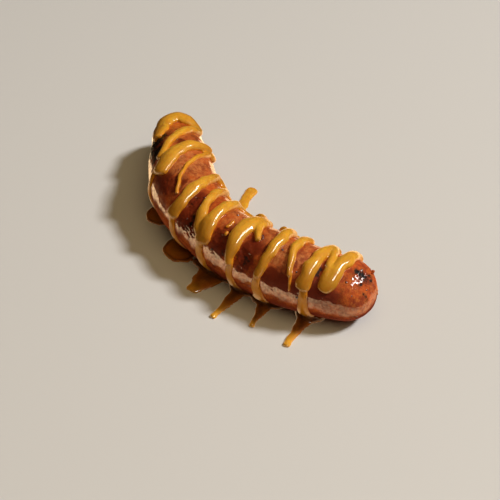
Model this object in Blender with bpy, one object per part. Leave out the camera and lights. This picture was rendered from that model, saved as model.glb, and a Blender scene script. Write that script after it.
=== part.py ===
"""One grilled sausage, bent by its casing, with a zigzag of mustard squeezed across it.

Metres, +Z up. The sausage lies on its flattened underside at z = 0 with its two ends along X,
the far end at -X and the near end, with its knot, at +X. The outside of the bend faces -Y.

A place on the casing is a station, the distance along the centreline from the middle of the far
end's dome, and an angle round the section: 0 on top, 90 at the outside of the bend, -90 inside.
"""

import math
from collections import namedtuple

import bmesh
import bpy
from mathutils import Vector

MM = 0.001

# The sausage: its centreline is three stretches, each with a length and a turn to the left.
FAR_END = (-0.0666, 0.0166)
FAR_HEADING = -30.5
STRETCHES = ((39 * MM, 2.5), (20 * MM, 22.0), (84 * MM, 44.5))
EASE = 20 * MM
LENGTH = sum(length for length, turn in STRETCHES)
RADII = (12.3 * MM, 15.3 * MM, 15.9 * MM, 14.7 * MM, 14.8 * MM, 15.2 * MM, 14.1 * MM)
SETTLE = 0.5 * MM
UNEVEN = 0.18 * MM

# The knots where the casing is pinched shut: how far off the axis each leans, and its size.
NEAR_KNOT_LEAN = 43
FAR_KNOT_LEAN = 12
KNOT_RADIUS = 1.3 * MM
KNOT_RISE = 1.2 * MM
PUCKER_DEPTH = 0.35 * MM
PUCKER_REACH = 7 * MM
PUCKERS = 9
KNOT_SIDEWAYS = 0.45

# The mustard: a pass crosses from the inside of the bend to the outside, by way of the top.
Pass = namedtuple("Pass", "behind top front back_angle front_angle back_width width front_width height")
PASSES = (
    Pass(4, 17, 34, -62, 38, 4.2, 3.8, 3.4, 2.0),
    Pass(27, 32, 43, -58, 46, 5.0, 5.8, 7.0, 2.7),
    Pass(29, 46, 58, -58, 34, 2.8, 2.3, 1.9, 1.3),
    Pass(50, 60, 62, -60, 66, 3.8, 5.0, 3.0, 2.2),
    Pass(63, 70, 79, -60, 56, 4.2, 4.0, 4.6, 2.0),
    Pass(76, 79, 81, -55, 68, 4.2, 5.2, 6.6, 2.5),
    Pass(97, 95, 97, -62, 72, 5.4, 5.2, 3.0, 2.5),
    Pass(98, 101, 104, -50, 16, 3.6, 3.2, 2.4, 1.7),
    Pass(111, 112, 110, -62, 70, 5.0, 5.2, 3.0, 2.5),
    Pass(122, 120, 123, -58, 52, 4.4, 3.8, 2.4, 2.1),
    Pass(136, 131, 129, -58, 66, 5.4, 5.8, 6.4, 2.6),
    Pass(135, 137, 138, -54, 46, 4.2, 4.6, 5.2, 2.4),
    Pass(146, 141, 138, -60, 62, 5.6, 6.2, 6.8, 2.7),
)
# Neighbouring passes, by their places in the list above, that meet behind the sausage.
BACK_LOOPS = ((1, 2), (3, 4), (5, 6), (8, 9), (10, 11))
LOOP_DROP = 26
LOOP_WIDTH = 4.2
LOOP_HEIGHT = 1.9

# The first squeeze, bent round the far dome from the outside to the back.
CAP_WAYPOINTS = ((14, 36), (3, 38), (-2, 14), (-2, -12), (4, -62))
CAP_WIDTH = 5.2
CAP_HEIGHT = 2.4

# Runs follow the casing down from a pass: stations and angles at both ends, width and height.
Run = namedtuple("Run", "top_station low_station top_angle low_angle top_width low_width height")
RUNS = (
    Run(37, 43, 36, 139, 2.8, 4.5, 1.0),
    Run(62, 66, 58, 139, 3.4, 6.0, 1.0),
    Run(80, 83, 60, 139, 3.8, 6.5, 1.2),
    Run(97, 98, 66, 139, 3.2, 6.5, 1.2),
    Run(110, 111, 64, 139, 3.4, 7.5, 1.2),
    Run(129, 130, 60, 139, 4.8, 6.5, 1.3),
    Run(123, 124, 46, 72, 1.8, 1.3, 0.8),
    Run(64, 68, -58, -139, 3.2, 4.5, 1.2),
    Run(87, 88, -76, -139, 3.2, 4.5, 1.2),
    Run(117, 118, -76, -139, 3.0, 4.2, 1.2),
)

# Feet where the runs spread over the surface: root and tip are stations, reach is from the axis,
# and the higher the taper, the sooner the foot narrows to its tail.
Foot = namedtuple("Foot", "root tip root_width tip_width taper reach height side")
FEET = (
    Foot(41, 43, 15, 11, 1.0, 19, 3.0, 1),
    Foot(63, 65, 18, 12, 1.0, 20, 3.0, 1),
    Foot(83, 85, 18, 4.4, 1.5, 25, 3.4, 1),
    Foot(98.5, 99.5, 12, 2.6, 2.4, 30, 3.4, 1),
    Foot(111, 113, 16, 2.4, 2.6, 25, 3.4, 1),
    Foot(130, 127.5, 12, 2.6, 2.2, 28.5, 3.4, 1),
    Foot(70, 28, 8, 4.8, 1.0, 35, 3.2, -1),
    Foot(88, 90, 9, 5, 1.0, 16, 2.6, -1),
    Foot(118, 117, 8, 5, 1.0, 15, 2.6, -1),
)
FOOT_START = 7.5
RUN_CLEARANCE = 0.4 * MM
STRAND_SINK = 0.35 * MM
TAIL_HEIGHT = 1.6
BLUNT_END = 0.45

# Dabs that fell between the passes: station, angle, length, width and height.
Dab = namedtuple("Dab", "station angle length width height")
DABS = (
    Dab(88, 2, 5.0, 1.8, 0.9),
    Dab(90, 25, 2.6, 1.6, 0.8),
    Dab(92.5, -60, 4.6, 6.0, 3.6),
    Dab(106.5, -61, 4.0, 4.5, 2.3),
)

# How finely the solids are cut.
LINK_STEP = 3.2 * MM
LINK_SIDES = 28
DOME_RINGS = 6
STRAND_STEP = 3.0 * MM
ARCH_POINTS = 6
KNOT_SIDES = 8
ROUND_END_ANGLES = (28, 58)
WELD = 0.01 * MM

CASING_COLOUR = (0.35, 0.085, 0.025, 1.0)


def smooth_between(values, t):
    """The Catmull-Rom curve through evenly spaced values, at t from 0 to 1."""
    last = len(values) - 1
    place = min(max(t, 0.0), 1.0) * last
    i = min(int(place), last - 1)
    f = place - i
    a, b = values[max(i - 1, 0)], values[i]
    c, d = values[i + 1], values[min(i + 2, last)]
    return 0.5 * (2 * b + (c - a) * f + (2 * a - 5 * b + 4 * c - d) * f**2 + (3 * b - a - 3 * c + d) * f**3)


def curvature(station):
    """Turn per metre: constant along a stretch, eased over a short length where two meet."""
    bends = [math.radians(turn) / length for length, turn in STRETCHES]
    total = bends[0]
    joint = 0.0
    for i in range(1, len(STRETCHES)):
        joint += STRETCHES[i - 1][0]
        share = min(max((station - joint) / EASE + 0.5, 0.0), 1.0)
        total += (bends[i] - bends[i - 1]) * share
    return total


def centreline(step=0.5 * MM):
    """Points and headings along the sausage's axis, seen from above."""
    heading = math.radians(FAR_HEADING)
    point = Vector(FAR_END)
    steps = round(LENGTH / step)
    rows = [(point.copy(), heading)]
    for i in range(steps):
        half_turn = curvature((i + 0.5) * step) * step / 2
        heading += half_turn
        point += Vector((math.cos(heading), math.sin(heading))) * step
        heading += half_turn
        rows.append((point.copy(), heading))
    return rows


AXIS = centreline()


def radius_at(station):
    return smooth_between(RADII, station / LENGTH)


def axis_at(station):
    """The axis point at floor level, the direction along the sausage and the one to its outside."""
    place = min(max(station / LENGTH, 0.0), 1.0) * (len(AXIS) - 1)
    i = min(int(place), len(AXIS) - 2)
    f = place - i
    point = AXIS[i][0].lerp(AXIS[i + 1][0], f)
    heading = AXIS[i][1] * (1 - f) + AXIS[i + 1][1] * f
    along = Vector((math.cos(heading), math.sin(heading), 0.0))
    outside = Vector((math.sin(heading), -math.cos(heading), 0.0))
    return point.to_3d(), along, outside


def normal_and_centre(station, angle):
    """The outward direction of the casing at a place, and the point of the axis that it leaves."""
    held = min(max(station, 0.0), LENGTH)
    radius = radius_at(held)
    point, along, outside = axis_at(held)
    point.z = radius - SETTLE
    tilt = math.asin(min(max((station - held) / radius, -1.0), 1.0))
    turn = math.radians(angle)
    across = Vector((0, 0, 1)) * math.cos(turn) + outside * math.sin(turn)
    return across * math.cos(tilt) + along * math.sin(tilt), point, radius


def unevenness(station, angle):
    """Slow swellings of the stuffed casing, by two waves that never line up."""
    turn = math.radians(angle)
    first = math.sin(station / (11 * MM) + 2 * turn)
    second = math.sin(station / (6.1 * MM) - 3 * turn + 1.0)
    return UNEVEN * (first + 0.6 * second)


def skin(station, angle, lift=0.0):
    """The point of the casing at a station and angle, raised by a lift, never under the surface."""
    normal, centre, radius = normal_and_centre(station, angle)
    point = centre + normal * (radius + unevenness(station, angle) + lift)
    point.z = max(point.z, 0.0)
    return point


def solid_from_rings(name, rings, start=None, end=None):
    """A closed mesh through rings of equal count, closed by fans to the start and end points."""
    bm = bmesh.new()
    rows = [[bm.verts.new(point) for point in ring] for ring in rings]
    for low, high in zip(rows, rows[1:]):
        for i in range(len(low)):
            j = (i + 1) % len(low)
            bm.faces.new((low[i], low[j], high[j], high[i]))
    for row, tip in ((rows[0][::-1], start), (rows[-1], end)):
        if tip is None:
            bm.faces.new(row)
            continue
        tip_vert = bm.verts.new(tip)
        for i in range(len(row)):
            bm.faces.new((row[i], row[(i + 1) % len(row)], tip_vert))
    bmesh.ops.recalc_face_normals(bm, faces=bm.faces)
    mesh = bpy.data.meshes.new(name)
    bm.to_mesh(mesh)
    bm.free()
    piece = bpy.data.objects.new(name, mesh)
    bpy.context.collection.objects.link(piece)
    return piece


def knot_direction(at_near_end):
    """The direction of an end's knot from the middle of its dome."""
    lean = math.radians(NEAR_KNOT_LEAN if at_near_end else FAR_KNOT_LEAN)
    point, along, outside = axis_at(LENGTH if at_near_end else 0.0)
    away = along if at_near_end else -along
    return away * math.cos(lean) + (Vector((0, 0, 1)) - KNOT_SIDEWAYS * outside).normalized() * math.sin(lean)


def puckered(point, centre, direction):
    """The dome's point with the folds that gather the casing towards the knot."""
    spoke = (point - centre).normalized()
    distance = radius_at(LENGTH) * spoke.angle(direction)
    side = direction.orthogonal().normalized()
    other = direction.cross(side)
    around = math.atan2(spoke.dot(other), spoke.dot(side))
    fade = math.exp(-((distance / PUCKER_REACH) ** 2))
    fold = math.cos(PUCKERS * around) * min(distance / (2 * MM), 1.0)
    return point + spoke * PUCKER_DEPTH * fade * (fold - 1.0)


def build_link():
    """The stuffed casing: rings along the bent axis and a dome at each end."""
    body_rings = round(LENGTH / LINK_STEP)
    stations = [LENGTH * i / body_rings for i in range(body_rings + 1)]
    dome = [math.sin(math.pi / 2 * i / DOME_RINGS) for i in range(1, DOME_RINGS)]
    stations = [-radius_at(0) * t for t in dome[::-1]] + stations
    stations += [LENGTH + radius_at(LENGTH) * t for t in dome]
    angles = [360 * i / LINK_SIDES for i in range(LINK_SIDES)]
    rings = []
    for station in stations:
        ring = [skin(station, angle) for angle in angles]
        if station > LENGTH:
            centre = normal_and_centre(station, 0)[1]
            ring = [puckered(point, centre, knot_direction(True)) for point in ring]
        rings.append(ring)
    far_tip = skin(-radius_at(0), 0)
    near_tip = skin(LENGTH + radius_at(LENGTH), 0)
    return solid_from_rings("sausage", rings, far_tip, near_tip)


def build_knot(name, at_near_end):
    """The twisted nub of casing, a short cone sunk in the dome."""
    direction = knot_direction(at_near_end)
    station = LENGTH if at_near_end else 0.0
    centre = normal_and_centre(station, 0)[1]
    side = direction.orthogonal().normalized()
    other = direction.cross(side)
    radius = radius_at(station)
    rings = []
    for share, height in ((1.0, -0.8), (0.95, 0.25), (0.75, 0.7), (0.45, 1.0)):
        middle = centre + direction * (radius + KNOT_RISE * height)
        ring = []
        for i in range(KNOT_SIDES):
            turn = math.tau * i / KNOT_SIDES
            width = KNOT_RADIUS * share * (1.0 + 0.18 * math.cos(3 * turn))
            ring.append(middle + (side * math.cos(turn) + other * math.sin(turn)) * width)
        rings.append(ring)
    return solid_from_rings(name, rings)


def rounded_stops(length, start_width, end_width):
    """Places from 0 to 1 along a rope, with the share of its width there, so that its ends are round."""
    start_radius = min(start_width / 2, 0.4 * length)
    end_radius = min(end_width / 2, 0.4 * length)
    turns = [math.radians(angle) for angle in ROUND_END_ANGLES]
    first = start_radius / length
    last = 1 - end_radius / length
    count = max(round((last - first) * length / STRAND_STEP), 1)
    stops = [(first * (1 - math.cos(turn)), math.sin(turn)) for turn in turns if first > 0]
    stops += [(first + (last - first) * i / count, 1.0) for i in range(count + 1)]
    stops += [(1 - (1 - last) * (1 - math.cos(turn)), math.sin(turn)) for turn in turns[::-1]]
    return stops


def end_height(round_off):
    """The share of a rope's height where its round end has this share of the width."""
    return BLUNT_END + (1 - BLUNT_END) * round_off


def arch(base, side, rise, count=ARCH_POINTS):
    """Points of a half ellipse that stands on its base, from one side to the other."""
    turns = [math.pi * k / (count - 1) for k in range(count)]
    return [base + side * math.cos(turn) + rise * math.sin(turn) for turn in turns]


def strand(name, places, widths, heights):
    """A rope of mustard lying on the casing along a row of (station, angle) places, in mm and degrees."""

    def place_at(t):
        return smooth_between([s for s, a in places], t) * MM, smooth_between([a for s, a in places], t)

    points = [skin(s * MM, a) for s, a in places]
    length = sum((b - a).length for a, b in zip(points, points[1:]))
    rings = []
    for t, round_off in rounded_stops(length, widths[0] * MM, widths[-1] * MM):
        station, angle = place_at(t)
        normal = normal_and_centre(station, angle)[0]
        course = skin(*place_at(min(t + 0.01, 1.0))) - skin(*place_at(max(t - 0.01, 0.0)))
        side = normal.cross(course).normalized() * smooth_between(widths, t) * MM / 2 * round_off
        height = smooth_between(heights, t) * MM * end_height(round_off)
        rise = normal * (height + STRAND_SINK)
        base = skin(station, angle, -STRAND_SINK)
        sunk = base - normal * STRAND_SINK
        ring = arch(base, side, rise) + [sunk - side * 0.7, sunk + side * 0.7]
        for point in ring:
            point.z = max(point.z, RUN_CLEARANCE)
        rings.append(ring)
    return solid_from_rings(name, rings)


def build_pass(number, crossing):
    """One crossing, whose station follows the parabola through its back, top and front."""
    back, front = crossing.back_angle, crossing.front_angle
    places = []
    for i in range(9):
        angle = back + (front - back) * i / 8
        station = crossing.behind * angle * (angle - front) / (back * (back - front))
        station += crossing.top * (angle - back) * (angle - front) / (back * front)
        station += crossing.front * angle * (angle - back) / (front * (front - back))
        places.append((station, angle))
    widths = (crossing.back_width, crossing.width, crossing.front_width)
    return strand(f"pass {number}", places, widths, (crossing.height,) * 3)


def build_loop(number, first, second):
    """The turn behind the sausage between two passes, hanging a little below their ends."""
    a, b = PASSES[first], PASSES[second]
    places = []
    for i in range(7):
        t = i / 6
        station = a.behind + (b.behind - a.behind) * t
        angle = a.back_angle + (b.back_angle - a.back_angle) * t - LOOP_DROP * math.sin(math.pi * t)
        places.append((station, angle))
    return strand(f"loop {number}", places, (LOOP_WIDTH,) * 2, (LOOP_HEIGHT,) * 2)


def build_run(number, run):
    places = []
    for i in range(6):
        t = i / 5
        station = run.top_station + (run.low_station - run.top_station) * t
        places.append((station, run.top_angle + (run.low_angle - run.top_angle) * t))
    return strand(f"run {number}", places, (run.top_width, run.low_width), (run.height,) * 2)


def build_foot(number, foot):
    """A spread of mustard on the surface: wide at the sausage, drawn out to a round tip."""
    root, _, outside = axis_at(foot.root * MM)
    end, _, end_outside = axis_at(foot.tip * MM)
    start = root + outside * foot.side * FOOT_START * MM
    tip = end + end_outside * foot.side * foot.reach * MM
    away = (tip - start).normalized()
    side = Vector((-away.y, away.x, 0.0))
    rings = []
    for t, round_off in rounded_stops((tip - start).length, 0.0, foot.tip_width * MM):
        narrowing = (1 - t) ** foot.taper
        width = foot.tip_width + (foot.root_width - foot.tip_width) * narrowing
        height = TAIL_HEIGHT + (foot.height - TAIL_HEIGHT) * narrowing
        rise = Vector((0, 0, height * MM * end_height(round_off)))
        rings.append(arch(start.lerp(tip, t), side * width * MM / 2 * round_off, rise, ARCH_POINTS + 2))
    return solid_from_rings(f"foot {number}", rings)


def build_dab(number, dab):
    spread = math.degrees(dab.length * MM / radius_at(dab.station * MM))
    places = [(dab.station, dab.angle), (dab.station, dab.angle + spread)]
    return strand(f"dab {number}", places, (dab.width,) * 2, (dab.height,) * 2)


def build_mustard():
    """Every strand, run, foot and dab of the drizzle."""
    pieces = [strand("cap", CAP_WAYPOINTS, (CAP_WIDTH,) * 2, (CAP_HEIGHT,) * 2)]
    pieces += [build_pass(i, crossing) for i, crossing in enumerate(PASSES)]
    pieces += [build_loop(i, first, second) for i, (first, second) in enumerate(BACK_LOOPS)]
    pieces += [build_run(i, run) for i, run in enumerate(RUNS)]
    pieces += [build_foot(i, foot) for i, foot in enumerate(FEET)]
    pieces += [build_dab(i, dab) for i, dab in enumerate(DABS)]
    return pieces


def fuse(link, pieces):
    """Joins the pieces to the link by one union, and removes them."""
    toppings = bpy.data.collections.new("toppings")
    bpy.context.scene.collection.children.link(toppings)
    for piece in pieces:
        bpy.context.collection.objects.unlink(piece)
        toppings.objects.link(piece)
    union = link.modifiers.new("Toppings", "BOOLEAN")
    union.operation = "UNION"
    union.operand_type = "COLLECTION"
    union.collection = toppings
    union.solver = "MANIFOLD"
    bpy.context.view_layer.objects.active = link
    bpy.ops.object.modifier_apply(modifier=union.name)
    for piece in pieces:
        bpy.data.objects.remove(piece)
    bpy.data.collections.remove(toppings)


def weld(link):
    """Merges the points that the union left a hair apart, and drops the faces that collapse."""
    bm = bmesh.new()
    bm.from_mesh(link.data)
    bmesh.ops.triangulate(bm, faces=bm.faces)
    bmesh.ops.remove_doubles(bm, verts=bm.verts, dist=WELD)
    bmesh.ops.dissolve_degenerate(bm, edges=bm.edges, dist=WELD)
    bmesh.ops.triangulate(bm, faces=bm.faces)
    bm.to_mesh(link.data)
    bm.free()


def casing_material():
    material = bpy.data.materials.new("grilled casing")
    material.use_nodes = True
    shader = material.node_tree.nodes["Principled BSDF"]
    shader.inputs["Base Color"].default_value = CASING_COLOUR
    shader.inputs["Roughness"].default_value = 0.3
    shader.inputs["Metallic"].default_value = 0.0
    return material


def main():
    for thing in list(bpy.data.objects):
        bpy.data.objects.remove(thing)
    link = build_link()
    pieces = build_mustard()
    pieces += [build_knot("near knot", True), build_knot("far knot", False)]
    fuse(link, pieces)
    weld(link)
    link.data.materials.append(casing_material())
    link.data.shade_smooth()
    link.data.set_sharp_from_angle(angle=math.radians(50))


main()
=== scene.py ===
"""The looks of one grilled sausage, bent by its casing, with a zigzag of mustard across it.

Metres, +Z up, in the frame of the solids. A place on the casing is a station, the distance along
the centreline in millimetres from the middle of the far end's dome, and an angle round the section
in degrees: 0 on top, 90 at the outside of the bend, -90 inside. The driving sizes are in millimetres.
"""

import math
import random
from collections import namedtuple

import bpy
import numpy as np
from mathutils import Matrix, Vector, noise


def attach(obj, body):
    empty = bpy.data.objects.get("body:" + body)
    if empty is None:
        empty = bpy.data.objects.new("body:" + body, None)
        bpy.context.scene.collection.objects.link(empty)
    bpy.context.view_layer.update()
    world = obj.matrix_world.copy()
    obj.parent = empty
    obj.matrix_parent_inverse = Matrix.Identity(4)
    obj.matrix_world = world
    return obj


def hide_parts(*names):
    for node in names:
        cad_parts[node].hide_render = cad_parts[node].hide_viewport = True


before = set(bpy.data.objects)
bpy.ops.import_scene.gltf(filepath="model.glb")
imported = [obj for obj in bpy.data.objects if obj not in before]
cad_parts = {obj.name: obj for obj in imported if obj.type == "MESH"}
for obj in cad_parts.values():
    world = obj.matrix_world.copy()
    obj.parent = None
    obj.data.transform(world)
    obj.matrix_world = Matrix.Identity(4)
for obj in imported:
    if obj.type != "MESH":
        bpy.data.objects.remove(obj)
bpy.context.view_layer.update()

MM = 0.001

# The sausage, as its solid has it: three stretches of centreline, each with a turn to the left.
FAR_END = (-0.0666, 0.0166)
FAR_HEADING = -30.5
STRETCHES = ((39.0, 2.5), (20.0, 22.0), (84.0, 44.5))
EASE = 20.0
LENGTH = sum(length for length, turn in STRETCHES)
RADII = (12.3, 15.3, 15.9, 14.7, 14.8, 15.2, 14.1)
SETTLE = 0.5
# One degree of angle as a length on the unrolled casing.
MEAN_RADIUS = 14.8
ARC = math.radians(1) * MEAN_RADIUS
# Two slow waves of the stuffed casing: length along it, turns round it, where it starts, its share.
UNEVEN = 0.18
Swell = namedtuple("Swell", "length turns start share")
SWELLS = (Swell(11, 2, 0.0, 1.0), Swell(6.1, -3, 1.0, 0.6))
# The knots, and the folds that gather the casing towards them.
NEAR_KNOT_LEAN = 43
FAR_KNOT_LEAN = 12
KNOT_SIDEWAYS = 0.45
KNOT_RADIUS = 1.1
KNOT_RISE = 1.0
KNOT_PROFILE = ((-0.8, 1.0), (0.25, 0.95), (0.6, 0.62), (0.9, 0.8), (1.15, 0.5))
KNOT_BROWN = 0.3
CRUMPLE_DEPTH = 0.35
CRUMPLES_PER_MM = 1.3
PUCKER_DEPTH = 0.35
PUCKER_REACH = 7.0
PUCKER_EASE = 2.0
PUCKERED_BODY = 2
PUCKERS = 9

# The mustard, as its solid has it: each pass crosses from the inside of the bend to the outside.
Pass = namedtuple("Pass", "behind top front back_angle front_angle "
                          "back_width width front_width height")
PASSES = (
    Pass(4, 17, 34, -62, 38, 5.0, 4.6, 3.6, 2.0),
    Pass(27, 32, 43, -58, 46, 5.0, 6.4, 8.8, 2.7),
    Pass(29, 46, 58, -58, 34, 3.0, 2.0, 1.5, 1.1),
    Pass(50, 60, 62, -60, 66, 3.8, 5.4, 4.9, 2.2),
    Pass(63, 70, 79, -60, 56, 4.2, 4.0, 4.6, 2.0),
    Pass(76, 79, 81, -55, 68, 4.2, 5.4, 7.6, 2.5),
    Pass(97, 95, 97, -62, 72, 6.0, 7.3, 3.2, 2.5),
    Pass(98, 101, 104, -50, 15, 5.0, 4.2, 2.5, 1.9),
    Pass(111, 112, 110, -62, 70, 5.0, 5.2, 3.0, 2.5),
    Pass(122, 120, 123, -58, 50, 4.4, 3.8, 1.8, 2.0),
    Pass(136, 131, 128.5, -58, 64, 5.2, 5.4, 5.4, 2.6),
    Pass(135, 136.5, 136.8, -54, 46, 4.0, 3.6, 4.0, 2.4),
    Pass(146, 141.5, 136.6, -60, 58, 5.4, 5.8, 5.4, 2.7),
)
BACK_LOOPS = ((1, 2), (3, 4), (5, 6), (8, 9), (10, 11))
LOOP_DROP = 14
LOOP_WIDTH = 4.2
LOOP_HEIGHT = 1.9
CAP_WAYPOINTS = ((14, 43), (6, 36), (0, 22), (-3, 2), (-2, -20), (4, -62))
CAP_WIDTHS = (5.2, 9.2, 8.8, 8.4, 8.0, 6.0)
CAP_HEIGHT = 2.4

# Runs follow the casing down from a pass to the foot that each spreads into.
Run = namedtuple("Run", "top_station low_station top_angle low_angle top_width low_width height")
RUNS = (
    Run(37, 43, 36, 139, 2.8, 4.5, 1.0),
    Run(62, 66, 58, 139, 3.0, 5.0, 0.9),
    Run(80, 83, 60, 139, 3.4, 5.5, 1.0),
    Run(97, 98, 66, 139, 2.6, 5.5, 1.0),
    Run(110, 111, 64, 139, 2.8, 6.5, 1.0),
    Run(129, 130, 58, 139, 2.9, 5.6, 1.0),
    Run(123, 124, 44, 74, 1.6, 0.9, 0.8),
    Run(64, 68, -58, -139, 3.2, 4.5, 1.2),
    Run(87, 88, -76, -139, 3.2, 4.5, 1.2),
    Run(117, 118, -76, -139, 3.0, 4.2, 1.2),
)
Foot = namedtuple("Foot", "root tip root_width tip_width taper reach side")
FEET = (
    Foot(82.5, 85, 18.5, 5.6, 1.3, 24.5, 1),
    Foot(98.5, 99.5, 11, 2.8, 2.0, 30, 1),
    Foot(111, 113, 12, 2.6, 2.2, 25, 1),
    Foot(130, 127.5, 9.5, 2.9, 1.8, 28.5, 1),
    Foot(70, 28, 3.0, 5.6, 1.0, 34.5, -1),
    Foot(88, 90, 9, 5, 1.0, 16, -1),
    Foot(118, 117, 8, 5, 1.0, 15, -1),
)
FOOT_START = 4.5
SKIRT_REACH = 11.5
SKIRT_MOST = 0.8
SKIRT_HEIGHT = 3.6
SKIRT_WIDTHS = (1.3, 1.25, 1.1, 0.8)
SKIRT_RISES = (1.0, 1.0, 0.85, 0.5)
TAIL_HEIGHT = 1.1
# The knob at the tip of a foot that is narrower than this, and the neck before it.
KNOB_HEIGHT = 1.4
WIDEST_KNOB = 5
KNOB_SWELL = 1.25
NECK_SHARE = 0.95
# Two feet spread round, as thin films with a thicker rim: where, and half their two widths.
Film = namedtuple("Film", "station reach along outward")
FILMS = (Film(41, 11.5, 7.6, 7.6), Film(63.5, 12.0, 8.6, 8.2))
FILM_HEIGHT = 0.9
FILM_SWAY = 0.12
FILM_SWAY_REACH = 5
RIM_WIDTH = 1.0
RIM_RISE = 1.5
RIM_THICKNESS = 0.14
Dab = namedtuple("Dab", "station angle length width height")
DABS = (
    Dab(88, 2, 4.8, 1.7, 0.8),
    Dab(90, 24, 2.4, 1.7, 0.8),
    Dab(92.5, -60, 4.6, 6.0, 3.6),
    Dab(106.5, -61, 4.0, 4.5, 2.3),
)
# Pools where neighbouring ropes ran together.
POOLS = (
    Dab(98.5, -34, 4.0, 5.0, 1.8),
    Dab(133.0, -38, 6.0, 6.5, 2.0),
    Dab(79.0, 40, 5.0, 6.0, 2.0),
)

# Marks on the casing: the middle as a place, then reach along and round it in
# millimetres, and how much.
Spot = namedtuple("Spot", "station angle along around amount")
# Dark red patches browned by the grill; those over the dimples also darken the hollows as painted
# shade.
DEEP_SPOTS = (
    Spot(16, 56, 15, 8.0, 1.0),
    Spot(24, 14, 3.0, 9.0, 0.75),
    Spot(37, 30, 4, 7, 0.6),
    Spot(47, 44, 9, 5.5, 0.75),
    Spot(53, 24, 4, 4.5, 0.8),
    Spot(68.5, 34, 6.0, 11.0, 1.1),
    Spot(66, 18, 4.5, 8.0, 1.0),
    Spot(74, 52, 4, 6, 0.9),
    Spot(90, 48, 5.5, 7.0, 0.95),
    Spot(89, 20, 2.6, 3.0, 0.6),
    Spot(103, 46, 5.0, 7.0, 1.0),
    Spot(104, 32, 5.0, 7.0, 1.1),
    Spot(117, 64, 8, 6.0, 0.85),
    Spot(122, 30, 1.6, 9.0, 0.5),
    Spot(133, 66, 11, 5.5, 0.85),
    Spot(132.6, 26, 3.0, 6.0, 1.0),
    Spot(143, 84, 10, 4.0, 0.4),
    Spot(88, -75, 22, 8, 0.6),
    Spot(40, -80, 16, 7, 0.5),
    Spot(128, -70, 12, 8, 0.6),
)
CHAR_SPOTS = (
    Spot(13, 50, 11, 9.5, 1.1),
    Spot(25, 50, 8, 4.5, 0.9),
    Spot(72.0, 46, 3.2, 5.0, 0.75),
    Spot(66, 18, 2.5, 2.5, 0.5),
    Spot(32, 20, 2.5, 2.5, 0.4),
    Spot(91, 60, 4, 1.6, 0.5),
    Spot(102, 50, 2.6, 2.2, 0.65),
    Spot(102, 57, 3.2, 1.8, 0.56),
    Spot(150.2, 13, 5.4, 6.2, 0.74),
    Spot(133.0, 28, 2.4, 4.0, 1.1),
    Spot(153.5, 60, 2.0, 4.0, 0.55),
    Spot(60, -95, 9, 4, 0.8),
    Spot(104, -98, 8, 4, 0.8),
)
# Pale tan patches on the lit top: partly real, partly painted sheen.
TAN_AND_SHEEN_SPOTS = (
    Spot(42, -2, 13, 11, 0.9),
    Spot(22, -5, 8, 6, 0.5),
    Spot(57, 8, 3.5, 8, 0.6),
    Spot(88.5, -14, 6, 8, 0.75),
    Spot(106, 0, 3.5, 7, 0.6),
    Spot(117, 30, 5.0, 9, 1.2),
    Spot(126, 14, 3.5, 11, 0.8),
)
DIMPLES = (
    Spot(102.5, 46, 3.6, 3.4, 1.0),
    Spot(90.5, 42, 2.6, 3.2, 0.55),
    Spot(68, 32, 4.0, 4.5, 0.7),
    Spot(114.5, 30, 2.5, 4.0, 0.4),
    Spot(52, 24, 5, 4, 0.35),
    Spot(120, -30, 4, 4, 0.35),
)
# The underside painted darker, as painted shade under the sausage and browning from the grill: from
# which angle, over how many degrees, and how much.
UNDER_EDGE = 94.0
UNDER_FADE = 25
UNDER_SHADE_AND_BROWN = 0.62
# The angle below which the oil has run off both flanks, at even steps along the sausage.
OIL_EDGE = (88, 88, 84, 76, 90, 92, 95, 103)
OIL_FADE = 2.0
OIL_RAGGED = 8
# How much oil there is above that, at the same steps, and the stations where it starts.
OIL_SHARES = (1.0, 1.0, 1.0, 1.0, 1.0, 0.86, 0.64, 0.4)
DRY_TIP = (-9.0, -3.0)
# Short splits in the casing: two ends as places, with depth and half width in millimetres.
Split = namedtuple("Split", "first last depth reach")
SPLITS = (
    Split((87.5, 38), (92.5, 27), 0.45, 0.5),
    Split((88.0, 41), (90.0, 30), 0.3, 0.4),
    Split((149.0, 24), (153.0, 12), 0.3, 0.4),
    Split((70.0, 18), (74.5, 30), 0.25, 0.5),
    Split((87.0, 34), (92.6, 24), -0.45, 0.45),
    Split((88.6, 45), (93.4, 37), -0.3, 0.4),
)
# The skin's relief: wrinkled spots, and lumps all over by reach and size.
WRINKLES = (
    Spot(150.8, 12, 5.6, 6.2, 0.46),
    Spot(16, 50, 12, 7, 0.3),
    Spot(72, 52, 5, 7, 0.26),
    Spot(90, 40, 5, 5, 0.26),
    Spot(103, 46, 4, 5, 0.22),
    Spot(66, 26, 4, 5, 0.22),
    Spot(51, 28, 6, 6, 0.16),
    Spot(30, -10, 6, 6, 0.1),
)
WRINKLES_PER_MM = 0.9
WRINKLE_PINCH = 4
LUMPS = ((7.5, 0.2), (3.0, 0.1), (1.4, 0.05), (0.9, 0.034))
# How far the edges of marks stray, and over what reach.
RAGGED = 3.2
STRAY_REACH = 4
STRAY_STEP = 9
# Flecks of pepper and burnt fat in the casing and the mustard, with their sizes.
Fleck = namedtuple("Fleck", "station angle size")
FLECKS = (
    Fleck(86, -15.6, 0.8),
    Fleck(103.7, 1.3, 0.9),
    Fleck(104.9, 5, 0.6),
    Fleck(86.8, 66, 0.75),
    Fleck(127.2, 82, 0.85),
    Fleck(128.4, 25.5, 0.5),
    Fleck(144.6, 34, 0.5),
    Fleck(153.2, 38, 0.4),
    Fleck(147.8, 56, 0.4),
    Fleck(122.1, -14, 0.45),
    Fleck(107.3, -24, 0.45),
    Fleck(117, 83, 0.45),
    Fleck(46.5, 12, 0.4),
    Fleck(69.5, 50, 0.5),
    Fleck(88.2, 10, 0.5),
    Fleck(115.6, 12, 0.5),
    Fleck(124.8, 40, 0.45),
)
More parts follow.
